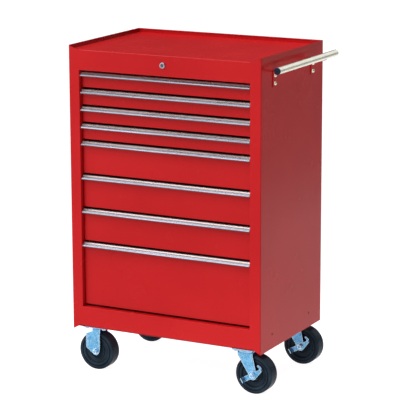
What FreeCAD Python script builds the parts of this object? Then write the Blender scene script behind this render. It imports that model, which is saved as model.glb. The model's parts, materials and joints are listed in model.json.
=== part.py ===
import FreeCAD, Part
import math
import os

# Rolling tool chest: a sheet-steel cabinet with eight drawers on ball-bearing slides, a side
# push handle, a cam lock, two rigid casters on the left and two braked swivel casters on the
# right. Millimetres, +Z up, the drawers open towards -Y and the handle is on the +X side.
# The floor is Z = 0, and the whole chest is centred on the Z axis.

V = FreeCAD.Vector
X_AXIS = V(1, 0, 0)
Y_AXIS = V(0, 1, 0)
Z_AXIS = V(0, 0, 1)
TOLERANCE = 0.01         # for picking edges that lie on a plane

# --- cabinet shell
CAB_W = 686.0            # width over the side panels
CAB_D = 460.0            # depth, front face to back face
TIP_Z = 140.0            # lowest edge of the side panels
TOP_Z = 1082.0           # upper edge of the lips round the top
LIP_H = 13.0             # height of the lips over the top surface
LIP_HEM = 4.0            # height of the hem folded inwards along the lips' upper edge
LIP_GROOVE = 1.5         # gap between that hem and the top tray's flange
SHEET = 1.2              # sheet-steel thickness
BEND_R = 3.0             # outer bend radius of the front corners
SMALL_BEND_R = 1.4       # outer bend radius of the inner edges
STILE_W = 38.0           # width of the front stile of each side panel
JAMB_D = 22.0            # depth of the fold that lines the drawer opening
REAR_FOLD = 20.0         # width of the fold at the back of each side panel
TIP_DROP = 15.0          # height of the pointed foot below the bottom rail
CORNER_CUT = 27.0        # length of the sloping cuts at both ends of each stile
RAIL_FOLD = 14.0         # depth of the fold on the top rail's upper edge
RAIL_RETURN = 8.0        # hidden return at the inner edge of both rails
FOOT_FOLD = 9.0          # depth of the fold under the bottom rail
FLOOR_Z = 148.0          # underside of the bottom panel
FLOOR_FLANGE = 52.0      # height of the bottom panel's side flanges
FLOOR_LIP = 24.0         # height of the bottom panel's front flange
CUT_OVER = 5.0           # how far a cutting block runs past the sheet that it trims

# --- drawers
TOP_GAP_Z = 999.5        # centre of the gap over the first drawer
SMALL_PITCH = 56.4
MEDIUM_PITCH = 112.0
LARGE_PITCH = 215.5
PITCHES = [SMALL_PITCH] * 4 + [MEDIUM_PITCH] * 3 + [LARGE_PITCH]
GAP = 6.6                # height of the gap between two drawers
INSET = 15.0             # setback of the drawer fronts behind the cabinet face
FRONT_T = 12.0           # thickness of the folded drawer front
SIDE_PLAY = 2.0          # gap between a drawer front and the jamb
PAN_SHEET = 1.0
PAN_HALF_W = 292.3
PAN_D = 403.0
PAN_RISE = 4.0           # pan bottom above the lower edge of the front
PAN_DROP = 10.0          # rim of the pan below the top of the pull
HEM_T = 2.2
HEM_H = 7.0

# --- drawer pull, an extruded aluminium moulding along the top edge of each drawer
PULL_PLAY = 0.6          # each end of the pull stops this short of the drawer front's end
PULL_SEAT = 2.0          # height of the pull over the drawer front's upper edge
PULL_PROFILE = [
    (24.0, 0.0), (13.2, 0.0), (11.6, -0.7), (8.6, -3.3), (9.3, -3.8), (8.2, -4.7),
    (7.1, -4.6), (3.1, -8.0), (3.9, -8.7), (3.1, -9.4), (2.2, -9.2), (0.3, -11.1),
    (0.0, -11.9), (0.3, -12.7), (1.4, -13.0), (2.6, -12.6), (3.2, -11.8), (13.2, -2.6),
    (13.6, -2.8), (13.6, -11.6), (15.0, -11.6), (15.0, -2.0), (24.0, -2.0)]

# --- ball-bearing slides
SLIDE_LEN = 400.0
SLIDE_START = 30.0       # front end of the slides behind the cabinet face
SLIDE_RISE = 19.0        # slide centreline over the pan's underside
CHANNEL_T = 1.2
OUTER_HALF_H = 16.0
MID_HALF_H = 13.5
INNER_HALF_H = 10.5
OUTER_X = (298.5, 305.0)
MID_X = (295.9, 302.8)
INNER_X = (PAN_HALF_W, 300.3)

# --- slide posts, two hat-section channels on each side
POST_Y = (116.0, 308.0)
POST_W = 40.0
POST_FOOT = 12.0

# --- side handle
HANDLE_R = 11.0
HANDLE_WALL = 1.5
HANDLE_STANDOFF = 47.0   # tube centreline to the side panel
HANDLE_DROP = 38.0       # tube centreline below the lip
HANDLE_Y = (15.0, 453.0)
CAP_T = 2.0
CAP_PLUG = 18.0
CAP_ROUND = 1.2
BRACKET_Y = (92.0, 373.0)
BRACKET_W = 22.0
BRACKET_T = 2.5
BRACKET_BEND_R = 5.0
BRACKET_LOW_Z = 983.0
CUP_RISE = 2.0           # top of the cup above the tube's centreline
BOLT_Z = (993.5, 1018.5)
HANDLE_BOLT_R = 3.0
HANDLE_BOLT_IN = 10.0    # reach of the bolts behind the side panel's outer face
HANDLE_NUT = (5.5, 4.5)
DOME_R = 6.5
DOME_H = 6.5

# --- cam lock in the top rail
LOCK_DROP = 44.0         # lock axis below the lip
LOCK_PROUD = 4.0
LOCK_FLANGE_R = 9.5
LOCK_ROUND = 1.6
LOCK_BODY_R = 7.5
LOCK_BODY_L = 20.0
LOCK_NUT_R = 12.5
LOCK_NUT_T = 3.0
PLUG_R = 5.6
PLUG_FIT = 0.05
PLUG_SINK = 0.6
KEYWAY = (1.4, 6.0, 4.0)  # width, height and depth of the key slot
CAM_T = 2.0
CAM_L = 17.0
CAM_HALF_W = 5.0
CAM_HUB_R = 7.0

# --- casters
WHEEL_R = 63.5
HUB_HALF_W = 22.5
AXLE_R = 5.0
AXLE_FIT = 0.08
CASTER_INSET_Y = 50.0    # wheel centreline from the front and from the back
RIGID_INSET_X = 70.0     # rigid axle from the left side
SWIVEL_INSET_X = 70.0    # swivel kingpin from the right side
TRAIL = 32.5             # swivel axle behind its kingpin
PLATE = (84.0, 70.0, 4.0)         # the swivel plates are turned a quarter
PLATE_BOLTS = (32.0, 25.0)
RACE_R = 27.0
RACE_TAPER = 4.0
RACE_DEPTH = 3.0
RACE_GAP = 0.6           # running gap of the ball race
KINGPIN_R = 6.0
KINGPIN_FIT = 0.05
KINGPIN_HEAD = (9.0, 3.0)
CROWN_R = 30.0
CROWN_NECK_R = 22.0
CROWN_TOP = 138.5        # top face of a swivel fork under its ball race
LEG_IN = 23.5            # inner face of a fork leg from the wheel's middle plane
LEG_OUT = 26.5
LEG_TIP_R = 13.0
FORK_BEND_R = 7.0
LEG_WAIST_Z = 74.0       # where the rigid legs start to narrow towards the axle
SHOULDER_Z = (121.0, 131.0)
SWIVEL_LEG_X = (-22.0, 31.0)   # leg edges at the crown, from the kingpin
SWIVEL_WAIST_Z = 126.0
RIGID_LEG_X = (-36.0, 16.0)    # leg edges from the axle
RIGID_NECK_X = -12.0
BEAD = (3.2, 1.0, 4.0)   # width and height of the stiffening beads, and their inset from the edge
BEAD_ROUND = 0.9         # edge rounding of a bead, as a share of its height
RIGID_BEAD_Z = (79.0, 118.0)
SWIVEL_BEAD_Z = (108.0, 130.0)
WASHER = (10.0, 1.4)
NUT = (8.0, 6.5)
BOLT_END = 2.0
HEAD = (8.0, 5.5)
WHEEL_PROFILE = [        # radius and half width, from the hub's rim out to the tread
    (14.0, 22.5), (16.0, 16.0), (24.0, 14.5), (25.0, 17.5), (28.0, 17.5), (29.0, 15.0),
    (41.0, 15.5), (43.0, 19.6), (45.5, 21.5), (49.0, 21.5), (50.0, 19.6), (52.5, 19.6),
    (53.5, 21.5), (60.0, 21.5), (62.2, 20.8), (63.2, 19.6), (63.5, 18.0)]

# --- brake lever on the outer side of each swivel caster
LEVER_T = 2.5
LEVER_GAP = 0.4
LEVER_FIT = 0.08
LEVER_RING_R = 15.0
LEVER_HOOK = [           # outline of the release end, X and Z from the axle
    (0.0, 14.0), (13.0, 15.5), (20.5, 19.5), (24.0, 24.0), (22.0, 28.0), (17.0, 31.5),
    (17.5, 35.5), (21.0, 36.0), (29.0, 30.5), (33.5, 24.0), (33.0, 18.0), (13.0, -7.0)]
PEDAL_AT = (-31.0, -18.0)
PEDAL_HALF_W = 8.0
PEDAL_OUT = 13.0
LOCK_TAB_AT = (30.0, 20.0)
LOCK_TAB_HALF_W = 4.0
LOCK_TAB_OUT = 5.0

# --- small fasteners
PLATE_BOLT_R = 3.5
PLATE_HEAD = (6.5, 4.5)
SCREW_Y = (87.0, 366.0)
SCREW_Z = 187.0
SCREW_R = 2.5
SCREW_HEAD_R = 4.0
SCREW_HEAD_T = 1.4
SCREW_LEN = 9.5

# --- derived positions
REACH = HANDLE_STANDOFF + HANDLE_R
X_LEFT = (SCREW_HEAD_T - CAB_W - REACH) / 2.0
X_RIGHT = X_LEFT + CAB_W
X_MID = (X_LEFT + X_RIGHT) / 2.0
Y_FRONT = (LOCK_PROUD - CAB_D) / 2.0
HALF_W = CAB_W / 2.0
OPEN_HALF = HALF_W - STILE_W
SURFACE_Z = TOP_Z - LIP_H
RAIL_LOW_Z = TIP_Z + TIP_DROP
OPEN_TOP_Z = TOP_GAP_Z + GAP / 2.0
OPEN_LOW_Z = TOP_GAP_Z - sum(PITCHES) - GAP / 2.0
AXLE_Z = WHEEL_R
PLATE_LOW_Z = FLOOR_Z - PLATE[2]
RACE_Z = PLATE_LOW_Z - RACE_DEPTH
FORK_T = LEG_OUT - LEG_IN


def drawer_zone(index):
    """Lower edge of a drawer front and upper face of its pull."""
    upper = TOP_GAP_Z - sum(PITCHES[:index])
    lower = upper - PITCHES[index]
    return lower + GAP / 2.0, upper - GAP / 2.0


def box(x0, x1, y0, y1, z0, z1):
    """Block given in cabinet coordinates: X from the cabinet's middle, Y from its front."""
    return Part.makeBox(x1 - x0, y1 - y0, z1 - z0, V(X_MID + x0, Y_FRONT + y0, z0))


def at(x, y, z):
    """Point given in cabinet coordinates."""
    return V(X_MID + x, Y_FRONT + y, z)


def prism(points, direction):
    """Solid swept along a vector from a closed outline."""
    wire = Part.makePolygon(points + [points[0]])
    return Part.Face(wire).extrude(direction)


def mirror_x(shape):
    """Copy on the other side of the cabinet's middle plane."""
    return shape.mirror(V(X_MID, 0, 0), X_AXIS)


def cylinder_y(radius, x, y0, y1, z):
    """Cylinder along Y in cabinet coordinates."""
    return Part.makeCylinder(radius, y1 - y0, at(x, y0, z), Y_AXIS)


def cylinder_x(radius, x0, x1, y, z):
    """Cylinder along X in cabinet coordinates."""
    return Part.makeCylinder(radius, x1 - x0, at(x0, y, z), X_AXIS)


def cylinder_z(radius, x, y, z0, z1):
    """Cylinder along Z in cabinet coordinates."""
    return Part.makeCylinder(radius, z1 - z0, at(x, y, z0), Z_AXIS)


def hexagon(radius, height, base, axis):
    """Hexagonal prism with the given corner radius."""
    side = Y_AXIS if abs(axis.dot(Y_AXIS)) < 0.5 else Z_AXIS
    other = axis.cross(side)
    points = []
    for k in range(6):
        angle = math.radians(60.0 * k)
        points.append(base + side * (radius * math.cos(angle)) + other * (radius * math.sin(angle)))
    return prism(points, axis * height)


def unit(a, b):
    """Unit vector between two 2-D points."""
    length = math.hypot(b[0] - a[0], b[1] - a[1])
    return (b[0] - a[0]) / length, (b[1] - a[1]) / length


def corner(before, vertex, after, radius, offset):
    """Start, middle and end of one side of a sheet bend, and the sharp-corner case."""
    d0 = unit(before, vertex)
    d1 = unit(vertex, after)
    turn = math.asin(max(-1.0, min(1.0, d0[0] * d1[1] - d0[1] * d1[0])))
    reach = radius * math.tan(abs(turn) / 2.0)
    side = 1.0 if turn > 0 else -1.0
    start = (vertex[0] - d0[0] * reach, vertex[1] - d0[1] * reach)
    centre = (start[0] - d0[1] * radius * side, start[1] + d0[0] * radius * side)
    own = radius - offset * side
    points = []
    for share in (0.0, 0.5, 1.0):
        angle = math.atan2(start[1] - centre[1], start[0] - centre[0]) + turn * share
        points.append((centre[0] + own * math.cos(angle), centre[1] + own * math.sin(angle)))
    return points


def sheet_edge(path, radii, offset):
    """One side of a bent sheet: a list of lines and arcs as 2-D point lists."""
    first = unit(path[0], path[1])
    last = unit(path[-2], path[-1])
    here = (path[0][0] - first[1] * offset, path[0][1] + first[0] * offset)
    pieces = []
    for k in range(1, len(path) - 1):
        bend = corner(path[k - 1], path[k], path[k + 1], radii[k - 1], offset)
        pieces.append([here, bend[0]])
        pieces.append(bend)
        here = bend[2]
    pieces.append([here, (path[-1][0] - last[1] * offset, path[-1][1] + last[0] * offset)])
    return pieces


def bent_sheet(path, radii, thickness, place, sweep):
    """Solid of a folded sheet: centre path, outer bend radii, thickness and sweep vector."""
    half = thickness / 2.0
    middle = [radius - half for radius in radii]
    left = sheet_edge(path, middle, half)
    right = [piece[::-1] for piece in sheet_edge(path, middle, -half)[::-1]]
    loop = left + [[left[-1][-1], right[0][0]]] + right + [[right[-1][-1], left[0][0]]]
    edges = []
    for piece in loop:
        points = [place(u, v) for u, v in piece]
        if len(points) == 3:
            edges.append(Part.Arc(points[0], points[1], points[2]).toShape())
        else:
            edges.append(Part.makeLine(points[0], points[1]))
    return Part.Face(Part.Wire(edges)).extrude(sweep)


def in_plan(u, v):
    """Plan view: X from the cabinet's middle, Y from its front."""
    return at(u, v, TIP_Z)


def in_section(u, v):
    """Side view at the left jamb: Y from the front, absolute Z."""
    return at(-OPEN_HALF, u, v)


def side_panel_right_shape():
    """Side panel with its front stile, rear fold and hemmed lip, cut to a point at both ends."""
    half = SHEET / 2.0
    path = [(OPEN_HALF + half, JAMB_D), (OPEN_HALF + half, half), (HALF_W - half, half),
            (HALF_W - half, CAB_D - half), (HALF_W - REAR_FOLD, CAB_D - half)]
    radii = [SMALL_BEND_R, BEND_R, BEND_R]
    panel = bent_sheet(path, radii, SHEET, in_plan, V(0, 0, TOP_Z - TIP_Z))
    fold_x = OPEN_HALF + SMALL_BEND_R
    for z0, z1 in ((OPEN_TOP_Z, TOP_Z), (TIP_Z, OPEN_LOW_Z)):
        panel = panel.cut(box(OPEN_HALF - CUT_OVER, fold_x, -CUT_OVER, JAMB_D + CUT_OVER, z0, z1))
        panel = panel.fuse(box(OPEN_HALF, fold_x, 0, SHEET, z0, z1))
    inner = OPEN_HALF - CUT_OVER
    cut_x = HALF_W - CORNER_CUT
    upper = [(HALF_W, TOP_Z), (cut_x, SURFACE_Z), (inner, SURFACE_Z), (inner, TOP_Z + CUT_OVER),
             (HALF_W, TOP_Z + CUT_OVER)]
    lower = [(HALF_W, TIP_Z), (cut_x, RAIL_LOW_Z), (inner, RAIL_LOW_Z), (inner, TIP_Z - CUT_OVER),
             (HALF_W, TIP_Z - CUT_OVER)]
    for outline in (upper, lower):
        points = [at(x, -CUT_OVER, z) for x, z in outline]
        panel = panel.cut(prism(points, V(0, CUT_OVER + BEND_R, 0)))
    hem = box(HALF_W - 2 * SHEET, HALF_W - SHEET, BEND_R, CAB_D - BEND_R, TOP_Z - LIP_HEM, TOP_Z)
    return panel.fuse(hem).removeSplitter()


def with_side_holes(panel, side, ys, zs, radius):
    """Panel with round holes through its side wall."""
    for y in ys:
        for z in zs:
            panel = panel.cut(cylinder_x(radius, side * HALF_W - BEND_R, side * HALF_W + BEND_R, y, z))
    return panel


def side_panels():
    """Left and right side panels with their fastener holes."""
    plain = side_panel_right_shape()
    left = with_side_holes(mirror_x(plain), -1, SCREW_Y, (SCREW_Z,), SCREW_R)
    right = with_side_holes(plain, 1, SCREW_Y, (SCREW_Z,), SCREW_R)
    right = with_side_holes(right, 1, BRACKET_Y, BOLT_Z, HANDLE_BOLT_R)
    return left, right


def top_rail():
    """Front rail over the drawers, folded back at both edges and bored for the lock."""
    half = SHEET / 2.0
    path = [(RAIL_FOLD, SURFACE_Z - half), (half, SURFACE_Z - half), (half, OPEN_TOP_Z + half),
            (JAMB_D, OPEN_TOP_Z + half), (JAMB_D, OPEN_TOP_Z + RAIL_RETURN)]
    radii = [BEND_R, SMALL_BEND_R, SMALL_BEND_R]
    rail = bent_sheet(path, radii, SHEET, in_section, V(2 * OPEN_HALF, 0, 0))
    return rail.cut(cylinder_y(LOCK_BODY_R, 0, -BEND_R, BEND_R, TOP_Z - LOCK_DROP))


def bottom_rail():
    """Front rail under the drawers."""
    half = SHEET / 2.0
    path = [(FOOT_FOLD, RAIL_LOW_Z + half), (half, RAIL_LOW_Z + half), (half, OPEN_LOW_Z - half),
            (JAMB_D, OPEN_LOW_Z - half), (JAMB_D, OPEN_LOW_Z - RAIL_RETURN)]
    radii = [SMALL_BEND_R, SMALL_BEND_R, SMALL_BEND_R]
    return bent_sheet(path, radii, SHEET, in_section, V(2 * OPEN_HALF, 0, 0))


def top_tray():
    """Top surface with upturned flanges inside the left, right and back lips."""
    in_x = HALF_W - SHEET
    in_y = CAB_D - 2 * SHEET
    bend_x = HALF_W - BEND_R
    bend_y = CAB_D - BEND_R
    low = SURFACE_Z - SHEET
    rim = TOP_Z - LIP_HEM - LIP_GROOVE
    tray = box(-in_x, in_x, BEND_R, bend_y, low, SURFACE_Z)
    tray = tray.fuse(box(-bend_x, bend_x, SHEET, in_y, low, SURFACE_Z))
    tray = tray.cut(box(-OPEN_HALF, OPEN_HALF, 0, RAIL_FOLD, low, SURFACE_Z))
    for side in (-1, 1):
        x0, x1 = sorted((side * (in_x - SHEET), side * in_x))
        tray = tray.fuse(box(x0, x1, BEND_R, bend_y, low, rim))
    tray = tray.fuse(box(-bend_x, bend_x, in_y - SHEET, in_y, low, rim))
    return tray.removeSplitter()


def back_panel():
    """Back sheet with a hemmed upper edge, held by the rear folds of the side panels."""
    half_w = HALF_W - BEND_R
    outer = CAB_D - SHEET
    sheet = box(-half_w, half_w, outer - SHEET, outer, FLOOR_Z, TOP_Z)
    hem = box(-half_w, half_w, outer - 2 * SHEET, outer - SHEET, TOP_Z - LIP_HEM, TOP_Z)
    return sheet.fuse(hem).removeSplitter()


def bottom_panel():
    """Floor sheet with flanges up both sides and behind the bottom rail."""
    in_x = HALF_W - SHEET
    y0 = FOOT_FOLD + SHEET
    y1 = CAB_D - BEND_R
    panel = box(-in_x, in_x, y0, y1, FLOOR_Z, FLOOR_Z + SHEET)
    for side in (-1, 1):
        x0, x1 = sorted((side * (in_x - SHEET), side * in_x))
        panel = panel.fuse(box(x0, x1, JAMB_D + SHEET, y1, FLOOR_Z, FLOOR_Z + FLOOR_FLANGE))
    panel = panel.fuse(box(-OPEN_HALF, OPEN_HALF, y0, y0 + SHEET, FLOOR_Z, FLOOR_Z + FLOOR_LIP))
    panel = panel.removeSplitter()
    for side in (-1, 1):
        panel = with_side_holes(panel, side, SCREW_Y, (SCREW_Z,), SCREW_R)
    for number, (x, y) in enumerate(caster_centres()):
        for dx, dy in bolt_corners(number):
            panel = panel.cut(cylinder_z(PLATE_BOLT_R, x + dx, y + dy, FLOOR_Z, FLOOR_Z + SHEET))
    return panel


def slide_posts():
    """Four upright hat-section channels that carry the cabinet slide members."""
    half = SHEET / 2.0
    outer = HALF_W - 2 * SHEET - half
    inner = OPEN_HALF + half
    height = SURFACE_Z - FLOOR_Z - 2 * SHEET
    posts = []
    for y in POST_Y:
        path = [(outer, y - POST_FOOT), (outer, y), (inner, y), (inner, y + POST_W),
                (outer, y + POST_W), (outer, y + POST_W + POST_FOOT)]
        radii = [SMALL_BEND_R] * 4
        post = bent_sheet(path, radii, SHEET, in_plan, V(0, 0, height))
        post.translate(V(0, 0, FLOOR_Z + SHEET - TIP_Z))
        posts.append(post)
        posts.append(mirror_x(post))
    return Part.makeCompound(posts)


def channel(x_range, half_h, web_outside, y0, z):
    """C-section slide member on the right side, open towards or away from the drawer."""
    x0, x1 = x_range
    y1 = y0 + SLIDE_LEN
    web = (x1 - CHANNEL_T, x1) if web_outside else (x0, x0 + CHANNEL_T)
    member = box(web[0], web[1], y0, y1, z - half_h, z + half_h)
    member = member.fuse(box(x0, x1, y0, y1, z + half_h - CHANNEL_T, z + half_h))
    member = member.fuse(box(x0, x1, y0, y1, z - half_h, z - half_h + CHANNEL_T))
    return member.removeSplitter()


def slide_z(index):
    """Height of a drawer's slide centreline."""
    return drawer_zone(index)[0] + PAN_RISE + SLIDE_RISE


def member_pair(x_range, half_h, web_outside, index):
    """The same slide member on both sides of one drawer."""
    right = channel(x_range, half_h, web_outside, SLIDE_START, slide_z(index))
    return [right, mirror_x(right)]


def slide_cabinet_members():
    """Fixed outer slide members of all drawers."""
    members = []
    for index in range(len(PITCHES)):
        members += member_pair(OUTER_X, OUTER_HALF_H, True, index)
    return Part.makeCompound(members)


def drawer_front(z_low, z_top):
    """Folded front: a face sheet with returns on all four edges."""
    half_w = OPEN_HALF - SIDE_PLAY
    upper = z_top - PULL_SEAT
    front = box(-half_w, half_w, INSET, INSET + FRONT_T, z_low, upper)
    front = front.makeFillet(SMALL_BEND_R, [e for e in front.Edges if on_face_plane(e)])
    return front.cut(box(-half_w + PAN_SHEET, half_w - PAN_SHEET, INSET + PAN_SHEET,
                         INSET + FRONT_T, z_low + PAN_SHEET, upper - PAN_SHEET))


def on_face_plane(edge):
    """True for the edges round the outer face of a drawer front."""
    return edge.BoundBox.YMax < Y_FRONT + INSET + TOLERANCE


def drawer_pan(z_low, z_top):
    """Open steel pan with hemmed rims."""
    y0 = INSET + FRONT_T
    y1 = y0 + PAN_D
    z0 = z_low + PAN_RISE
    z1 = z_top - PAN_DROP
    half_w = PAN_HALF_W
    pan = box(-half_w, half_w, y0, y1, z0, z1)
    pan = pan.cut(box(-half_w + PAN_SHEET, half_w - PAN_SHEET, y0 + PAN_SHEET, y1 - PAN_SHEET,
                      z0 + PAN_SHEET, z1))
    hem = box(-half_w, half_w, y0, y1, z1 - HEM_H, z1)
    hem = hem.cut(box(-half_w + HEM_T, half_w - HEM_T, y0 + HEM_T, y1 - HEM_T, z1 - HEM_H, z1))
    return pan.fuse(hem)


def drawer_box(index):
    """Drawer pan welded to its folded front."""
    z_low, z_top = drawer_zone(index)
    y0 = INSET + FRONT_T
    body = drawer_front(z_low, z_top).fuse(drawer_pan(z_low, z_top))
    skirt = box(-PAN_HALF_W, PAN_HALF_W, y0, y0 + PAN_SHEET, z_low, z_top - PULL_SEAT)
    return body.fuse(skirt).removeSplitter()


def drawer_pull(index):
    """Aluminium moulding clipped over the upper edge of a drawer front."""
    z_top = drawer_zone(index)[1]
    half_w = OPEN_HALF - SIDE_PLAY - PULL_PLAY
    points = [at(-half_w, y, z_top + z) for y, z in PULL_PROFILE]
    return prism(points, V(2 * half_w, 0, 0))


def handle_tube():
    """Straight steel tube of the push handle."""
    x = HALF_W + HANDLE_STANDOFF
    z = TOP_Z - HANDLE_DROP
    y0 = HANDLE_Y[0] + CAP_T
    y1 = HANDLE_Y[1] - CAP_T
    tube = cylinder_y(HANDLE_R, x, y0, y1, z)
    return tube.cut(cylinder_y(HANDLE_R - HANDLE_WALL, x, y0, y1, z))


def handle_end_caps():
    """Plastic plugs in both ends of the tube."""
    x = HALF_W + HANDLE_STANDOFF
    z = TOP_Z - HANDLE_DROP
    caps = []
    for y, inward in ((HANDLE_Y[0], 1), (HANDLE_Y[1], -1)):
        face = sorted((y, y + inward * CAP_T))
        plug = sorted((y, y + inward * (CAP_T + CAP_PLUG)))
        cap = cylinder_y(HANDLE_R, x, face[0], face[1], z)
        rim = [e for e in cap.Edges if abs(e.BoundBox.YMin - Y_FRONT - y) < TOLERANCE
               and abs(e.BoundBox.YMax - Y_FRONT - y) < TOLERANCE]
        cap = cap.makeFillet(CAP_ROUND, rim)
        caps.append(cap.fuse(cylinder_y(HANDLE_R - HANDLE_WALL, x, plug[0], plug[1], z)))
    return Part.makeCompound(caps)


def handle_bracket(y):
    """Strap bolted to the side panel and bent out under the tube, with a cup behind the tube."""
    tube_x = HALF_W + HANDLE_STANDOFF
    tube_z = TOP_Z - HANDLE_DROP
    y0 = y - BRACKET_W / 2.0
    half = BRACKET_T / 2.0
    arm_z = tube_z - HANDLE_R - half
    path = [(HALF_W + half, BRACKET_LOW_Z), (HALF_W + half, arm_z), (tube_x, arm_z)]
    strap = bent_sheet(path, [BRACKET_BEND_R], BRACKET_T, lambda u, v: at(u, y0, v), V(0, BRACKET_W, 0))
    cup_r = HANDLE_R + BRACKET_T
    cup = cylinder_y(cup_r, tube_x, y0, y0 + BRACKET_W, tube_z)
    cup = cup.common(box(tube_x - cup_r, tube_x, y0, y0 + BRACKET_W, tube_z - cup_r, tube_z + CUP_RISE))
    bracket = strap.fuse(cup).cut(cylinder_y(HANDLE_R, tube_x, y0, y0 + BRACKET_W, tube_z))
    for z in BOLT_Z:
        bracket = bracket.cut(cylinder_x(HANDLE_BOLT_R, HALF_W, HALF_W + BRACKET_T, y, z))
    return bracket.removeSplitter()


def handle_brackets():
    """The two handle brackets."""
    return Part.makeCompound([handle_bracket(y) for y in BRACKET_Y])


def dome(radius, height, base, axis):
    """Spherical cap with its flat face on the base point."""
    sphere_r = (radius * radius + height * height) / (2.0 * height)
    centre = base - axis * (sphere_r - height)
    cap = Part.makeSphere(sphere_r, centre)
    return cap.common(Part.makeCylinder(sphere_r, 2.0 * height, base, axis))


def handle_bolts():
    """Dome-head bolts through the brackets and the side panel, with nuts inside."""
    bolts = []
    face = HALF_W + BRACKET_T
    nut_r, nut_h = HANDLE_NUT
    for y in BRACKET_Y:
        for z in BOLT_Z:
            head = dome(DOME_R, DOME_H, at(face, y, z), X_AXIS)
            shank = cylinder_x(HANDLE_BOLT_R, HALF_W - HANDLE_BOLT_IN, face + DOME_H / 2.0, y, z)
            nut = hexagon(nut_r, nut_h, at(HALF_W - SHEET - nut_h, y, z), X_AXIS)
            bolts.append(head.fuse(shank).fuse(nut).removeSplitter())
    return Part.makeCompound(bolts)


def lock_barrel():
    """Fixed lock body with its bright flange in front of the rail and a nut behind it."""
    z = TOP_Z - LOCK_DROP
    flange = cylinder_y(LOCK_FLANGE_R, 0, -LOCK_PROUD, 0, z)
    front_rim = [e for e in flange.Edges if e.BoundBox.YMax < Y_FRONT - LOCK_PROUD + TOLERANCE]
    flange = flange.makeFillet(LOCK_ROUND, front_rim)
    barrel = flange.fuse(cylinder_y(LOCK_BODY_R, 0, 0, LOCK_BODY_L, z))
    nut = hexagon(LOCK_NUT_R, LOCK_NUT_T, at(0, SHEET, z), Y_AXIS)
    barrel = barrel.fuse(nut)
    bore = cylinder_y(PLUG_R + PLUG_FIT, 0, -LOCK_PROUD, LOCK_BODY_L, z)
    return barrel.cut(bore).removeSplitter()


def lock_plug():
    """Turning plug with its key slot, and the cam at its inner end."""
    z = TOP_Z - LOCK_DROP
    width, height, depth = KEYWAY
    front = -LOCK_PROUD + PLUG_SINK
    back = LOCK_BODY_L + PLUG_SINK
    plug = cylinder_y(PLUG_R, 0, front, back + CAM_T, z)
    low, high = z - height / 2.0, z + height / 2.0
    plug = plug.cut(box(-width / 2.0, width / 2.0, front, front + depth, low, high))
    cam = box(0, CAM_L, back, back + CAM_T, z - CAM_HALF_W, z + CAM_HALF_W)
    cam = cam.fuse(cylinder_y(CAM_HUB_R, 0, back, back + CAM_T, z))
    return plug.fuse(cam).removeSplitter()


def caster_centres():
    """Plate centres: front left, back left, front right, back right."""
    rear = CAB_D - CASTER_INSET_Y
    left = -HALF_W + RIGID_INSET_X
    right = HALF_W - SWIVEL_INSET_X
    return [(left, CASTER_INSET_Y), (left, rear), (right, CASTER_INSET_Y), (right, rear)]


def turned(number, pair):
    """X and Y measures of a plate; those of the swivel casters, numbers 2 and 3, lie crosswise."""
    return pair[::-1] if number >= 2 else pair


def bolt_corners(number):
    """Bolt pattern of a caster plate."""
    bx, by = turned(number, PLATE_BOLTS)
    return [(-bx, -by), (bx, -by), (-bx, by), (bx, by)]


def caster_plates():
    """Mounting plates; those of the swivel casters carry the upper half of the ball race."""
    plates = []
    for number, (x, y) in enumerate(caster_centres()):
        length, width = turned(number, PLATE[:2])
        plate = box(x - length / 2, x + length / 2, y - width / 2, y + width / 2, PLATE_LOW_Z, FLOOR_Z)
        for dx, dy in bolt_corners(number):
            plate = plate.cut(cylinder_z(PLATE_BOLT_R, x + dx, y + dy, PLATE_LOW_Z, FLOOR_Z))
        if number >= 2:
            race = Part.makeCone(RACE_R - RACE_TAPER, RACE_R, RACE_DEPTH, at(x, y, RACE_Z), Z_AXIS)
            bore = cylinder_z(KINGPIN_R + KINGPIN_FIT, x, y, RACE_Z, FLOOR_Z)
            plate = plate.fuse(race).cut(bore).removeSplitter()
        plates.append(plate)
    return Part.makeCompound(plates)


def caster_bolts():
    """Hexagon bolts up through each plate and the floor sheet, with nuts on top."""
    bolts = []
    head_r, head_h = PLATE_HEAD
    under = PLATE_LOW_Z
    over = FLOOR_Z + SHEET
    for number, (x, y) in enumerate(caster_centres()):
        for dx, dy in bolt_corners(number):
            head = hexagon(head_r, head_h, at(x + dx, y + dy, under - head_h), Z_AXIS)
            shank = cylinder_z(PLATE_BOLT_R, x + dx, y + dy, under - head_h, over + head_h + BOLT_END)
            nut = hexagon(head_r, head_h, at(x + dx, y + dy, over), Z_AXIS)
            bolts.append(head.fuse(shank).fuse(nut).removeSplitter())
    return Part.makeCompound(bolts)


def side_screws():
    """Round-head screws that fix both side panels to the floor sheet."""
    screws = []
    for side in (-1, 1):
        axis = X_AXIS * side
        for y in SCREW_Y:
            base = at(side * HALF_W, y, SCREW_Z)
            head = dome(SCREW_HEAD_R, SCREW_HEAD_T, base, axis)
            sunk = SCREW_HEAD_T / 2.0
            shank = Part.makeCylinder(SCREW_R, SCREW_LEN + sunk, base + axis * sunk, axis * -1.0)
            screws.append(head.fuse(shank).removeSplitter())
    return Part.makeCompound(screws)


def tip_tangent(point, x_axle, turn):
    """Where a leg's edge from a point meets the round tip at the axle."""
    dx = point[0] - x_axle
    dz = point[1] - AXLE_Z
    angle = math.atan2(dz, dx) + turn * math.acos(LEG_TIP_R / math.hypot(dx, dz))
    return x_axle + LEG_TIP_R * math.cos(angle), AXLE_Z + LEG_TIP_R * math.sin(angle)


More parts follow.
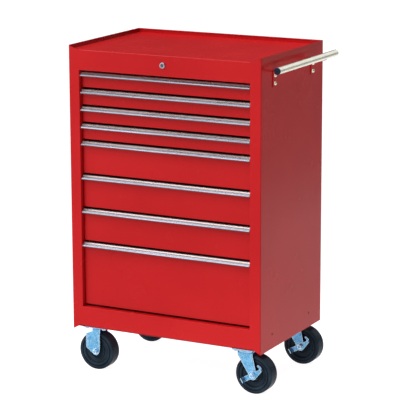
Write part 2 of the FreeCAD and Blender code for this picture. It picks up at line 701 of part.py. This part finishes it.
def pressed_fork(left, right, x_axle, y_centre):
    """U-shaped sheet across the wheel, trimmed to its side outline and bored for the axle."""
    top = left[0][1]
    middle = (LEG_IN + LEG_OUT) / 2.0
    low = AXLE_Z - 2.0 * LEG_TIP_R
    crown = top - FORK_T / 2.0
    x0 = min(x for x, _ in left) - CUT_OVER
    x1 = x_axle + 2.0 * LEG_TIP_R
    path = [(y_centre - middle, low), (y_centre - middle, crown), (y_centre + middle, crown),
            (y_centre + middle, low)]
    sheet = bent_sheet(path, [FORK_BEND_R] * 2, FORK_T, lambda u, v: at(x0, u, v), V(x1 - x0, 0, 0))
    outline = left + [tip_tangent(left[-1], x_axle, 1), tip_tangent(right[-1], x_axle, -1)] + right[::-1]
    y0 = y_centre - LEG_OUT
    sweep = V(0, 2.0 * LEG_OUT, 0)
    side = prism([at(px, y0, pz) for px, pz in outline], sweep)
    side = side.fuse(cylinder_y(LEG_TIP_R, x_axle, y0, y_centre + LEG_OUT, AXLE_Z))
    fork = sheet.common(side)
    return fork.cut(cylinder_y(AXLE_R, x_axle, y0, y_centre + LEG_OUT, AXLE_Z))


def leg_beads(edges, z_range, y_centre):
    """Raised beads on the outer faces of both legs, along lines given by their X at two heights."""
    width, height, _ = BEAD
    beads = []
    for side in (-1, 1):
        y0, y1 = sorted((y_centre + side * (LEG_OUT - height), y_centre + side * (LEG_OUT + height)))
        for x_low, x_high in edges:
            outline = [(x_low, z_range[0]), (x_low + width, z_range[0]), (x_high + width, z_range[1]),
                       (x_high, z_range[1])]
            bead = prism([at(px, y0, pz) for px, pz in outline], V(0, y1 - y0, 0))
            rim = [e for e in bead.Edges if abs(e.BoundBox.YMin - e.BoundBox.YMax) < TOLERANCE
                   and abs(abs(e.BoundBox.YMin - Y_FRONT - y_centre) - LEG_OUT - height) < TOLERANCE]
            beads.append(bead.makeFillet(height * BEAD_ROUND, rim))
    return beads


def axle_set(x_axle, y_centre, lever_side):
    """Axle bolt with its head, and a washer and nut, with room for the brake lever."""
    near = LEG_OUT
    if lever_side:
        near += LEVER_GAP + LEVER_T + LEVER_GAP
    y_nut = y_centre - near
    washer = cylinder_y(WASHER[0], x_axle, y_nut - WASHER[1], y_nut, AXLE_Z)
    nut = hexagon(NUT[0], NUT[1], at(x_axle, y_nut - WASHER[1] - NUT[1], AXLE_Z), Y_AXIS)
    head = hexagon(HEAD[0], HEAD[1], at(x_axle, y_centre + LEG_OUT, AXLE_Z), Y_AXIS)
    shank = cylinder_y(AXLE_R, x_axle, y_nut - WASHER[1] - NUT[1] - BOLT_END, y_centre + LEG_OUT, AXLE_Z)
    washer = washer.cut(cylinder_y(AXLE_R, x_axle, y_nut - WASHER[1], y_nut, AXLE_Z))
    nut = nut.cut(cylinder_y(AXLE_R, x_axle, y_nut - WASHER[1] - NUT[1], y_nut, AXLE_Z))
    return [shank.fuse(head).removeSplitter(), washer, nut]


def rigid_fork(x, y):
    """Fixed fork pressed from one sheet, under its plate, with the axle set."""
    low_z, high_z = SHOULDER_Z
    x0, x1 = x + RIGID_LEG_X[0], x + RIGID_LEG_X[1]
    neck = x + RIGID_NECK_X
    left = [(neck, PLATE_LOW_Z), (neck, high_z), (x0, low_z), (x0, LEG_WAIST_Z)]
    right = [(x1, PLATE_LOW_Z), (x1, LEG_WAIST_Z)]
    fork = pressed_fork(left, right, x, y)
    inset = BEAD[2]
    edges = [(x0 + inset, x0 + inset), (x1 - inset - BEAD[0], x1 - inset - BEAD[0])]
    for bead in leg_beads(edges, RIGID_BEAD_Z, y):
        fork = fork.fuse(bead)
    return Part.makeCompound([fork.removeSplitter()] + axle_set(x, y, False))


def swivel_fork(x, y):
    """Swivelling fork: ball-race crown, kingpin, two trailing legs and the axle set."""
    x0, x1 = x + SWIVEL_LEG_X[0], x + SWIVEL_LEG_X[1]
    x_axle = x + TRAIL
    left = [(x0, CROWN_TOP), (x0, SWIVEL_WAIST_Z)]
    right = [(x1, CROWN_TOP), (x1, SWIVEL_WAIST_Z)]
    fork = pressed_fork(left, right, x_axle, y)
    inset = BEAD[2]
    lean_left = edge_lean(left[-1], x_axle, 1)
    lean_right = edge_lean(right[-1], x_axle, -1)
    edges = [(x0 + inset + lean_left, x0 + inset),
             (x1 - inset - BEAD[0] + lean_right, x1 - inset - BEAD[0])]
    for bead in leg_beads(edges, SWIVEL_BEAD_Z, y):
        fork = fork.fuse(bead)
    cone_h = RACE_Z - RACE_GAP - CROWN_TOP
    fork = fork.fuse(cylinder_z(CROWN_R, x, y, CROWN_TOP - FORK_T, CROWN_TOP))
    fork = fork.fuse(Part.makeCone(CROWN_R, CROWN_NECK_R, cone_h, at(x, y, CROWN_TOP), Z_AXIS))
    fork = fork.fuse(cylinder_z(KINGPIN_R, x, y, CROWN_TOP, FLOOR_Z - RACE_GAP))
    head_r, head_h = KINGPIN_HEAD
    fork = fork.fuse(cylinder_z(head_r, x, y, CROWN_TOP - FORK_T - head_h, CROWN_TOP - FORK_T))
    return Part.makeCompound([fork.removeSplitter()] + axle_set(x_axle, y, True))


def edge_lean(point, x_axle, turn):
    """Sideways run of a leg's slanting edge over the height of a bead."""
    tip = tip_tangent(point, x_axle, turn)
    rise = SWIVEL_BEAD_Z[1] - SWIVEL_BEAD_Z[0]
    return (tip[0] - point[0]) / (point[1] - tip[1]) * rise


def wheel(x_axle, y_centre):
    """Solid wheel with ringed side faces and a flat tread, bored for its axle."""
    half = [(AXLE_R + AXLE_FIT, HUB_HALF_W)] + WHEEL_PROFILE
    outline = half + [(r, -y) for r, y in reversed(half)]
    points = [at(x_axle + r, y_centre + y, AXLE_Z) for r, y in outline]
    face = Part.Face(Part.makePolygon(points + [points[0]]))
    return face.revolve(at(x_axle, y_centre, AXLE_Z), Y_AXIS, 360)


def lever_arm(x, y0, y1, z, target, half_w):
    """Flat arm of the brake lever from its ring to a tab."""
    length = math.hypot(target[0], target[1])
    along = (target[0] / length, target[1] / length)
    across = (-along[1] * half_w, along[0] * half_w)
    outline = [(across[0], across[1]), (target[0] + across[0], target[1] + across[1]),
               (target[0] - across[0], target[1] - across[1]), (-across[0], -across[1])]
    return prism([at(x + px, y0, z + pz) for px, pz in outline], V(0, y1 - y0, 0))


def lever_tab(x, y0, y1, z, target, half_w):
    """Tab bent outwards across the end of a lever arm."""
    length = math.hypot(target[0], target[1])
    along = (target[0] / length * LEVER_T, target[1] / length * LEVER_T)
    across = (-target[1] / length * half_w, target[0] / length * half_w)
    outline = [(target[0] + across[0], target[1] + across[1]),
               (target[0] + along[0] + across[0], target[1] + along[1] + across[1]),
               (target[0] + along[0] - across[0], target[1] + along[1] - across[1]),
               (target[0] - across[0], target[1] - across[1])]
    return prism([at(x + px, y0, z + pz) for px, pz in outline], V(0, y1 - y0, 0))


def brake_lever(x_axle, y_centre):
    """Side brake: a ring on the axle, a foot pedal at one end and a hooked release at the other."""
    y1 = y_centre - LEG_OUT - LEVER_GAP
    y0 = y1 - LEVER_T
    lever = cylinder_y(LEVER_RING_R, x_axle, y0, y1, AXLE_Z)
    lever = lever.fuse(lever_arm(x_axle, y0, y1, AXLE_Z, PEDAL_AT, PEDAL_HALF_W))
    hook = prism([at(x_axle + px, y0, AXLE_Z + pz) for px, pz in LEVER_HOOK], V(0, LEVER_T, 0))
    lever = lever.fuse(hook)
    lever = lever.fuse(lever_tab(x_axle, y0 - PEDAL_OUT, y1, AXLE_Z, PEDAL_AT, PEDAL_HALF_W))
    lever = lever.fuse(lever_tab(x_axle, y0 - LOCK_TAB_OUT, y1, AXLE_Z, LOCK_TAB_AT, LOCK_TAB_HALF_W))
    lever = lever.cut(cylinder_y(AXLE_R + LEVER_FIT, x_axle, y0, y1, AXLE_Z))
    return lever.removeSplitter()


def cabinet_nodes():
    """All fixed pieces of the cabinet."""
    left, right = side_panels()
    return {
        "side_panel_left": left, "side_panel_right": right, "top_rail": top_rail(),
        "bottom_rail": bottom_rail(), "top_tray": top_tray(), "back_panel": back_panel(),
        "bottom_panel": bottom_panel(), "slide_posts": slide_posts(),
        "slide_cabinet_members": slide_cabinet_members(), "handle_tube": handle_tube(),
        "handle_end_caps": handle_end_caps(), "handle_brackets": handle_brackets(),
        "handle_bolts": handle_bolts(), "side_screws": side_screws(),
        "lock_barrel": lock_barrel(), "lock_plug": lock_plug(),
        "caster_plates": caster_plates(), "caster_bolts": caster_bolts()}


def drawer_nodes():
    """Box, pull and moving slide members of every drawer, numbered from the top."""
    nodes = {}
    for index in range(len(PITCHES)):
        name = "drawer_%d" % (index + 1)
        nodes[name + "_box"] = drawer_box(index)
        nodes[name + "_pull"] = drawer_pull(index)
        inner = member_pair(INNER_X, INNER_HALF_H, False, index)
        nodes[name + "_slides"] = Part.makeCompound(inner)
        mid = member_pair(MID_X, MID_HALF_H, True, index)
        nodes[name + "_mid_slides"] = Part.makeCompound(mid)
    return nodes


def caster_nodes():
    """Forks, wheels and brake levers."""
    nodes = {}
    places = ("front_left", "back_left", "front_right", "back_right")
    for place, (x, y) in zip(places, caster_centres()):
        if place.endswith("left"):
            nodes["caster_fork_" + place] = rigid_fork(x, y)
            nodes["wheel_" + place] = wheel(x, y)
        else:
            nodes["caster_fork_" + place] = swivel_fork(x, y)
            nodes["wheel_" + place] = wheel(x + TRAIL, y)
            nodes["brake_lever_" + place] = brake_lever(x + TRAIL, y)
    return nodes


def main():
    """Build every node and write it to its own file."""
    os.makedirs("parts", exist_ok=True)
    nodes = {}
    nodes.update(cabinet_nodes())
    nodes.update(drawer_nodes())
    nodes.update(caster_nodes())
    for name in sorted(nodes):
        shape = nodes[name]
        shape.exportStep("parts/%s.step" % name)
        print(name, len(shape.Solids), shape.isValid(), round(shape.Volume / 1000.0, 2))


main()
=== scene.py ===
import json
import math
import bpy
from mathutils import Matrix, Vector


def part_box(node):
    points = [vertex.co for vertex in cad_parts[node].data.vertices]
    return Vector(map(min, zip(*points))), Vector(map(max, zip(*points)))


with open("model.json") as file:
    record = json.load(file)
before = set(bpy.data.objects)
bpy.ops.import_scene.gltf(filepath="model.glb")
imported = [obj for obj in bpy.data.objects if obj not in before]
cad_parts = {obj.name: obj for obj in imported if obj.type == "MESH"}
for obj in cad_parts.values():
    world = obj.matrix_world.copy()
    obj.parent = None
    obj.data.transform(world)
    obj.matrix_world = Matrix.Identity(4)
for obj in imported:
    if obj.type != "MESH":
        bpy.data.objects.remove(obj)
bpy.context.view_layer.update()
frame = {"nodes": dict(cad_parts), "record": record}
NODES = frame["nodes"]

# ---------------------------------------------------------------- places read from the frame
RAIL_LOW, RAIL_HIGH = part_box("top_rail")
PANEL_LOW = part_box("side_panel_left")[0]
MID_X = (RAIL_LOW.x + RAIL_HIGH.x) / 2
FRONT_Y = RAIL_LOW.y
TIP_Z = PANEL_LOW.z

# ---------------------------------------------------------------- camera
CAMERA_AZIMUTH = math.radians(27.69)
CAMERA_ELEVATION = math.radians(12.52)
CAMERA_ROLL = math.radians(-0.20)
CAMERA_OFFSET = Vector((2.9477, -5.3676, 1.8265))  # from the cabinet's middle, face and tips
CAMERA_LENS = 177.85    # focal length and sensor width in millimetres
CAMERA_SENSOR = 36.0
CAMERA_CLIP = (0.1, 100.0)


def make_camera():
    """Long-lens camera in front of the chest, to its right and a little above."""
    data = bpy.data.cameras.new("camera")
    data.lens = CAMERA_LENS
    data.sensor_width = CAMERA_SENSOR
    data.clip_start, data.clip_end = CAMERA_CLIP
    camera = bpy.data.objects.new("camera", data)
    bpy.context.collection.objects.link(camera)
    back = Vector((math.sin(CAMERA_AZIMUTH) * math.cos(CAMERA_ELEVATION),
                   -math.cos(CAMERA_AZIMUTH) * math.cos(CAMERA_ELEVATION),
                   math.sin(CAMERA_ELEVATION)))
    camera.rotation_mode = "QUATERNION"
    turn = (-back).to_track_quat("-Z", "Y")
    camera.rotation_quaternion = turn @ Matrix.Rotation(CAMERA_ROLL, 3, "Z").to_quaternion()
    camera.location = Vector((MID_X, FRONT_Y, TIP_Z)) + CAMERA_OFFSET
    bpy.context.scene.camera = camera


make_camera()


# ---------------------------------------------------------------- material helpers
NOISE_BAND = (0.3, 0.7)  # the part of a noise's 0 to 1 that its values mostly fill
SIDE_SAMPLES = 6         # rays for each look at nearby edges and hollows
SHARP_ANGLE = math.radians(32.0)


class Nodes:
    """A node tree with short ways to add the nodes used here."""

    def __init__(self, tree):
        self.tree = tree

    def add(self, kind, **values):
        """New node with the given properties."""
        node = self.tree.nodes.new(kind)
        for key, value in values.items():
            setattr(node, key, value)
        return node

    def link(self, source, target):
        """Wire from one socket to another."""
        self.tree.links.new(source, target)

    def ramp(self, source, stops):
        """Colour that runs through stops of (position, colour)."""
        node = self.add("ShaderNodeValToRGB")
        ramp = node.color_ramp
        while len(ramp.elements) < len(stops):
            ramp.elements.new(0.5)
        for element, (at, colour) in zip(ramp.elements, stops):
            element.position = at
            element.color = (*colour, 1.0)
        self.link(source, node.inputs["Fac"])
        return node.outputs["Color"]

    def tones(self, source, pair, band=NOISE_BAND):
        """Colour between the two of a pair, over a band of the source."""
        return self.ramp(source, list(zip(band, pair)))

    def spread(self, source, low, high, from_low=NOISE_BAND[0], from_high=NOISE_BAND[1]):
        """Value from low to high, over a band of the source."""
        node = self.add("ShaderNodeMapRange")
        node.inputs["From Min"].default_value = from_low
        node.inputs["From Max"].default_value = from_high
        node.inputs["To Min"].default_value = low
        node.inputs["To Max"].default_value = high
        self.link(source, node.inputs["Value"])
        return node.outputs["Result"]

    def maths(self, operation, first, second):
        """Result of a sum or the like on two values, each a number or a socket."""
        node = self.add("ShaderNodeMath", operation=operation)
        for socket, value in zip(node.inputs, (first, second)):
            if isinstance(value, float):
                socket.default_value = value
            else:
                self.link(value, socket)
        return node.outputs["Value"]

    def dot(self, vector, towards):
        """How far a vector points along a fixed direction."""
        node = self.add("ShaderNodeVectorMath", operation="DOT_PRODUCT")
        self.link(vector, node.inputs[0])
        node.inputs[1].default_value = towards
        return node.outputs["Value"]

    def blend(self, share, first, second):
        """Mix of two colours, each a socket or a colour; the share is a number or a socket."""
        node = self.add("ShaderNodeMix", data_type="RGBA")
        for socket, value in (("Factor", share), ("A", first), ("B", second)):
            if isinstance(value, float):
                node.inputs[socket].default_value = value
            elif isinstance(value, tuple):
                node.inputs[socket].default_value = (*value, 1.0)
            else:
                self.link(value, node.inputs[socket])
        return node.outputs["Result"]


class Surface(Nodes):
    """A material's nodes, with what places it, measures its shape and feeds its shader."""

    def __init__(self, name):
        self.material = bpy.data.materials.new(name)
        self.material.use_nodes = True
        super().__init__(self.material.node_tree)
        self.shader = self.tree.nodes["Principled BSDF"]
        coordinates = self.add("ShaderNodeTexCoord")
        self.place = coordinates.outputs["Object"]
        self.box = coordinates.outputs["Generated"]

    def fixed(self, **values):
        """Uniform values of the shader, with _ for each space in an input's name."""
        for key, value in values.items():
            self.shader.inputs[key.replace("_", " ")].default_value = value

    def stretched(self, x, y, z):
        """Place with its axes scaled, for noises drawn out in one direction."""
        mapping = self.add("ShaderNodeMapping")
        mapping.inputs["Scale"].default_value = (x, y, z)
        self.link(self.place, mapping.inputs["Vector"])
        return mapping.outputs["Vector"]

    def noise(self, scale, detail, place=None):
        """Soft noise of the given scale, in the object's place unless told otherwise."""
        node = self.add("ShaderNodeTexNoise")
        node.inputs["Scale"].default_value = scale
        node.inputs["Detail"].default_value = detail
        self.link(place or self.place, node.inputs["Vector"])
        return node.outputs["Fac"]

    def cells(self, scale):
        """Random colour for each crystal-like cell."""
        node = self.add("ShaderNodeTexVoronoi")
        node.inputs["Scale"].default_value = scale
        self.link(self.place, node.inputs["Vector"])
        return node.outputs["Color"]

    def bump(self, source, strength, distance, before=None):
        """Normal bent by a height, on top of an earlier bump if one is given."""
        node = self.add("ShaderNodeBump")
        node.inputs["Strength"].default_value = strength
        node.inputs["Distance"].default_value = distance
        self.link(source, node.inputs["Height"])
        if before is not None:
            self.link(before, node.inputs["Normal"])
        return node.outputs["Normal"]

    def edges(self, width, low, high):
        """1 along sharp edges and 0 on flat faces, over a band of the given width."""
        round_normal = self.add("ShaderNodeBevel", samples=SIDE_SAMPLES)
        round_normal.inputs["Radius"].default_value = width
        flat = self.add("ShaderNodeNewGeometry").outputs["Normal"]
        turn = self.add("ShaderNodeVectorMath", operation="DOT_PRODUCT")
        self.link(round_normal.outputs["Normal"], turn.inputs[0])
        self.link(flat, turn.inputs[1])
        return self.spread(turn.outputs["Value"], 1.0, 0.0, low, high)

    def depth(self):
        """Place in the piece's own bounding box, from 0 at its front to 1 at its back."""
        split = self.add("ShaderNodeSeparateXYZ")
        self.link(self.box, split.inputs["Vector"])
        return split.outputs["Y"]

    def hollows(self, reach, low, high):
        """1 deep in grooves and 0 on open faces, from how much of the surroundings is hidden."""
        hidden = self.add("ShaderNodeAmbientOcclusion", samples=SIDE_SAMPLES)
        hidden.inputs["Distance"].default_value = reach
        return self.spread(hidden.outputs["AO"], 1.0, 0.0, low, high)

    def colour(self, source):
        self.link(source, self.shader.inputs["Base Color"])

    def rough(self, source):
        self.link(source, self.shader.inputs["Roughness"])

    def normal(self, source):
        self.link(source, self.shader.inputs["Normal"])


# ---------------------------------------------------------------- materials
# Each pair of tones runs from dark to light, in linear light. A noise is (scale, detail).
# A relief is (strength, height in metres), and a gloss is a range of roughness.
RED_TONES = ((0.440, 0.006, 0.008), (0.495, 0.009, 0.011))
RED_BAND = (0.35, 0.65)
DRAWN_TONES = ((0.20, 0.19, 0.20), (0.36, 0.34, 0.36))
# Painted light across a pull: painted shade at the front edge, in the groove and over the back, a
# bluish painted reflection below the groove and a pinkish painted highlight above it.
PULL_LIGHT_SHADE_BANDS = [  # from the front edge of a pull to its back
    (0.02, (0.04, 0.04, 0.05)), (0.05, (0.26, 0.29, 0.36)),
    (0.19, (0.38, 0.40, 0.47)), (0.22, (0.04, 0.04, 0.05)),
    (0.27, (0.05, 0.04, 0.05)), (0.31, (0.50, 0.43, 0.42)),
    (0.46, (0.62, 0.53, 0.51)), (0.60, (0.30, 0.25, 0.25))]
PULL_LIGHT_SHADE_SHARE = 0.80
PULL_LIGHT_SHADE_DRIFT = (-0.035, 0.035)  # how far the bands wander along a pull
STEEL_TONES = ((0.42, 0.43, 0.44), (0.60, 0.61, 0.62))
ZINC_TONES = ((0.04, 0.23, 0.44), (0.12, 0.39, 0.64))
SPANGLE_TONES = ((0.03, 0.17, 0.36), (0.50, 0.72, 0.86))
SPANGLE_BAND = (0.2, 0.8)
SPANGLE_SHARE = 0.25
# Painted highlight colour for the sharp edges of the zinc parts.
ZINC_EDGE_HIGHLIGHT = (0.78, 0.90, 0.96)
RUBBER_TONES = ((0.012, 0.019, 0.027), (0.026, 0.040, 0.056))
# Painted shade colour for the wheel's grooves.
GROOVE_PAINTED_SHADE = (0.002, 0.003, 0.004)
COOL_TINT = (0.60, 0.80, 1.0, 1.0)
CHROME_TONES = ((0.72, 0.70, 0.58), (0.82, 0.80, 0.67))
LOCK_RING_TONES = ((0.26, 0.27, 0.33), (0.52, 0.53, 0.58))
# Darker tones for the lock's plug, as painted shade of its keyway.
LOCK_CORE_SHADE_TONES = ((0.05, 0.05, 0.07), (0.16, 0.16, 0.19))
PLASTIC_TONES = ((0.004, 0.004, 0.010), (0.010, 0.010, 0.024))
VIOLET_TINT = (0.55, 0.62, 1.0, 1.0)
SCREW_TONES = ((0.012, 0.007, 0.008), (0.032, 0.018, 0.020))


def red_paint():
    """Semi-gloss red powder coat with faint orange peel and slightly uneven colour."""
    m = Surface("red_powder_coat")
    m.fixed(Specular_IOR_Level=0.125)
    m.colour(m.tones(m.noise(2.6, 3.0), RED_TONES, RED_BAND))
    m.rough(m.spread(m.noise(9.0, 2.0), 0.18, 0.32, from_low=0.1, from_high=0.9))
    peel = m.bump(m.noise(420.0, 2.0), 0.05, 0.0002)
    m.normal(m.bump(m.noise(3.0, 1.0), 0.06, 0.004, before=peel))
    return m.material


def pull_aluminium():
    """Satin anodised extrusion: fine drawn lines, two pale bands of painted highlight and
    reflection, and painted shade in the groove between and at front and back.
    """
    m = Surface("satin_aluminium")
    m.fixed(Metallic=0.75)
    drawn = m.noise(1.0, 3.0, place=m.stretched(3.0, 900.0, 900.0))
    lines = m.tones(drawn, DRAWN_TONES)
    wander = m.noise(1.0, 2.0, place=m.stretched(2.5, 40.0, 40.0))
    drift = m.spread(wander, *PULL_LIGHT_SHADE_DRIFT)
    # Painted highlight, reflection and shade bands, laid over the drawn lines.
    bands = m.ramp(m.maths("ADD", m.depth(), drift), PULL_LIGHT_SHADE_BANDS)
    m.colour(m.blend(PULL_LIGHT_SHADE_SHARE, lines, bands))
    m.rough(m.spread(m.noise(6.0, 3.0, place=m.stretched(1.0, 8.0, 8.0)), 0.21, 0.34))
    m.normal(m.bump(drawn, 0.12, 0.0003))
    return m.material


def bare_steel():
    """Zinc-flashed rolled steel of the slides and posts, with grain along the slides."""
    m = Surface("rolled_steel")
    m.fixed(Metallic=1.0)
    grain = m.noise(1.0, 4.0, place=m.stretched(400.0, 12.0, 400.0))
    m.colour(m.tones(grain, STEEL_TONES))
    m.rough(m.spread(m.noise(14.0, 4.0), 0.30, 0.48))
    m.normal(m.bump(grain, 0.10, 0.0004))
    return m.material


def zinc_plate():
    """Blue-passivated zinc plating on the casters, with a painted highlight along its sharp edges.
    """
    m = Surface("blue_zinc")
    m.fixed(Metallic=0.80)
    clouds = m.tones(m.noise(22.0, 2.0), ZINC_TONES)
    spangle = m.tones(m.cells(260.0), SPANGLE_TONES, SPANGLE_BAND)
    plating = m.blend(SPANGLE_SHARE, clouds, spangle)
    # The paler colour along sharp edges is a painted highlight.
    m.colour(m.blend(m.edges(width=0.003, low=0.80, high=0.99), plating, ZINC_EDGE_HIGHLIGHT))
    m.rough(m.spread(m.noise(60.0, 2.0), 0.20, 0.34))
    m.normal(m.bump(m.noise(120.0, 3.0), 0.30, 0.0012))
    return m.material


def wheel_rubber():
    """Black wheel material with faint mould marks and dust, and painted shade darkening its
    grooves.
    """
    m = Surface("black_rubber")
    m.fixed(IOR=1.10, Specular_Tint=COOL_TINT)
    dust = m.tones(m.noise(26.0, 4.0), RUBBER_TONES)
    # Near-black painted shade laid into the grooves and hollows.
    m.colour(m.blend(m.hollows(reach=0.012, low=0.45, high=0.95), dust, GROOVE_PAINTED_SHADE))
    m.rough(m.spread(m.noise(40.0, 4.0), 0.16, 0.32))
    m.normal(m.bump(m.noise(700.0, 3.0), 0.12, 0.0004))
    return m.material


def plain(name, tones, mottle, gloss, smears, relief, grain, **fixed):
    """Material whose colour, gloss and relief each follow one noise of their own."""
    m = Surface(name)
    m.fixed(**fixed)
    m.colour(m.tones(m.noise(*mottle), tones))
    m.rough(m.spread(m.noise(*smears), *gloss))
    m.normal(m.bump(m.noise(*grain), *relief))
    return m.material


def chrome():
    """Polished, slightly warm chrome with faint smudges."""
    return plain("polished_chrome", CHROME_TONES, mottle=(30.0, 3.0),
                 gloss=(0.20, 0.34), smears=(45.0, 4.0),
                 relief=(0.03, 0.0003), grain=(300.0, 2.0), Metallic=1.0)


def lock_metal(name, tones):
    """Nickel-plated brass of the cam lock, lightly scratched by keys."""
    return plain(name, tones, mottle=(260.0, 3.0),
                 gloss=(0.14, 0.30), smears=(500.0, 3.0),
                 relief=(0.25, 0.0003), grain=(900.0, 3.0), Metallic=1.0)


def black_plastic():
    """Moulded black plastic of the handle's end caps."""
    return plain("black_plastic", PLASTIC_TONES, mottle=(90.0, 3.0),
                 gloss=(0.16, 0.30), smears=(120.0, 3.0),
                 relief=(0.10, 0.0003), grain=(1200.0, 2.0),
                 Specular_IOR_Level=0.25, Specular_Tint=VIOLET_TINT)


def black_screw():
    """Black-oxide screw heads."""
    return plain("black_screw", SCREW_TONES, mottle=(400.0, 3.0),
                 gloss=(0.40, 0.60), smears=(300.0, 3.0),
                 relief=(0.15, 0.0003), grain=(900.0, 2.0), Metallic=0.6)


MATERIALS = {
    "red_paint": red_paint(), "satin_aluminium": pull_aluminium(), "bare_steel": bare_steel(),
    "zinc_plate": zinc_plate(), "chrome": chrome(), "wheel_rubber": wheel_rubber(),
    "black_plastic": black_plastic(), "black_screw": black_screw()}
# The plug is the same plated metal as the ring, with darker tones as painted shade of its keyway.
LOCK_MATERIALS = {
    "lock_barrel": lock_metal("lock_ring", LOCK_RING_TONES),
    "lock_plug": lock_metal("lock_core_shaded", LOCK_CORE_SHADE_TONES)}


def dress_cad_nodes():
    """Gives every CAD node its material and crisp but smooth shading."""
    for part in frame["record"]["subparts"]:
        node = NODES[part["node"]]
        for slot in node.material_slots:
            slot.link = "OBJECT"
            slot.material = LOCK_MATERIALS.get(part["node"], MATERIALS[part["material_slot"]])
        node.data.shade_smooth()
        node.data.set_sharp_from_angle(angle=SHARP_ANGLE)


dress_cad_nodes()


# ---------------------------------------------------------------- floor and light
FLOOR_HALF = 60.0                 # half the floor's width, in metres
FLOOR_TONES = ((0.35, 0.35, 0.35), (0.38, 0.38, 0.38))
WHITE = (1.0, 1.0, 1.0, 1.0)
SWEEP_GLOW = 0.58                 # light given by the floor's luminous part
SWEEP_AXIS = (0.929, 0.371, 0.0)  # across the luminous part, towards its edge
SWEEP_EDGE = (2.10, 2.70)         # from full to none along that axis, in metres
POOL_GLOW = 0.36                  # more light close round the chest
POOL_EDGE = (0.45, 1.30)          # from full to none, in metres from the middle
STUDIO_LEVEL = 0.05               # light from every direction, before the softboxes
STUDIO_COLOUR = (0.97, 0.98, 1.0, 1.0)
# Each softbox: the direction it lies in, its strength, and where it starts and is full,
# as the cosine of the angle from its middle.
OVERHEAD = ((-0.44, -0.24, 0.865), 1.98, 0.38, 0.90)
REAR_STRIP = ((0.15, 0.89, 0.43), 1.05, 0.87, 0.94)
FRONT_FILL = ((-0.42, -0.88, 0.22), 0.20, 0.40, 0.95)
KEY_TOWARDS = (0.27, 0.50, -0.82)  # the way its light travels
KEY_ENERGY = 1.24
KEY_WIDTH = math.radians(50.0)


def make_floor():
    """Large pale floor, luminous as far as an edge on the right, and more so round the chest."""
    mesh = bpy.data.meshes.new("floor")
    h = FLOOR_HALF
    mesh.from_pydata([(-h, -h, 0), (h, -h, 0), (h, h, 0), (-h, h, 0)], [], [(0, 1, 2, 3)])
    floor = bpy.data.objects.new("floor", mesh)
    bpy.context.collection.objects.link(floor)
    m = Surface("pale_floor")
    m.colour(m.tones(m.noise(1.5, 2.0), FLOOR_TONES))
    m.fixed(Roughness=0.7, Specular_IOR_Level=0.1, Emission_Color=WHITE)
    glow = m.spread(m.dot(m.place, SWEEP_AXIS), SWEEP_GLOW, 0.0, *SWEEP_EDGE)
    distance = m.add("ShaderNodeVectorMath", operation="LENGTH")
    m.link(m.place, distance.inputs[0])
    pool = m.spread(distance.outputs["Value"], POOL_GLOW, 0.0, *POOL_EDGE)
    m.link(m.maths("ADD", glow, pool), m.shader.inputs["Emission Strength"])
    mesh.materials.append(m.material)


def make_world():
    """Dim surroundings with an overhead softbox, a strip at the rear and a fill at the front."""
    world = bpy.data.worlds.new("studio")
    world.use_nodes = True
    m = Nodes(world.node_tree)
    direction = m.add("ShaderNodeTexCoord").outputs["Generated"]
    level = STUDIO_LEVEL
    for towards, strength, edge, full in (OVERHEAD, REAR_STRIP, FRONT_FILL):
        lamp = m.spread(m.dot(direction, towards), 0.0, strength, edge, full)
        level = m.maths("ADD", lamp, level)
    background = m.tree.nodes["Background"]
    background.inputs["Color"].default_value = STUDIO_COLOUR
    m.link(level, background.inputs["Strength"])
    bpy.context.scene.world = world


def make_key():
    """One broad soft key from the front left, above."""
    sun = bpy.data.lights.new("key", "SUN")
    sun.energy = KEY_ENERGY
    sun.angle = KEY_WIDTH
    key = bpy.data.objects.new("key", sun)
    bpy.context.collection.objects.link(key)
    key.rotation_mode = "QUATERNION"
    key.rotation_quaternion = Vector(KEY_TOWARDS).to_track_quat("-Z", "Y")


make_floor()
make_world()
make_key()
bpy.context.scene.view_settings.view_transform = "Standard"
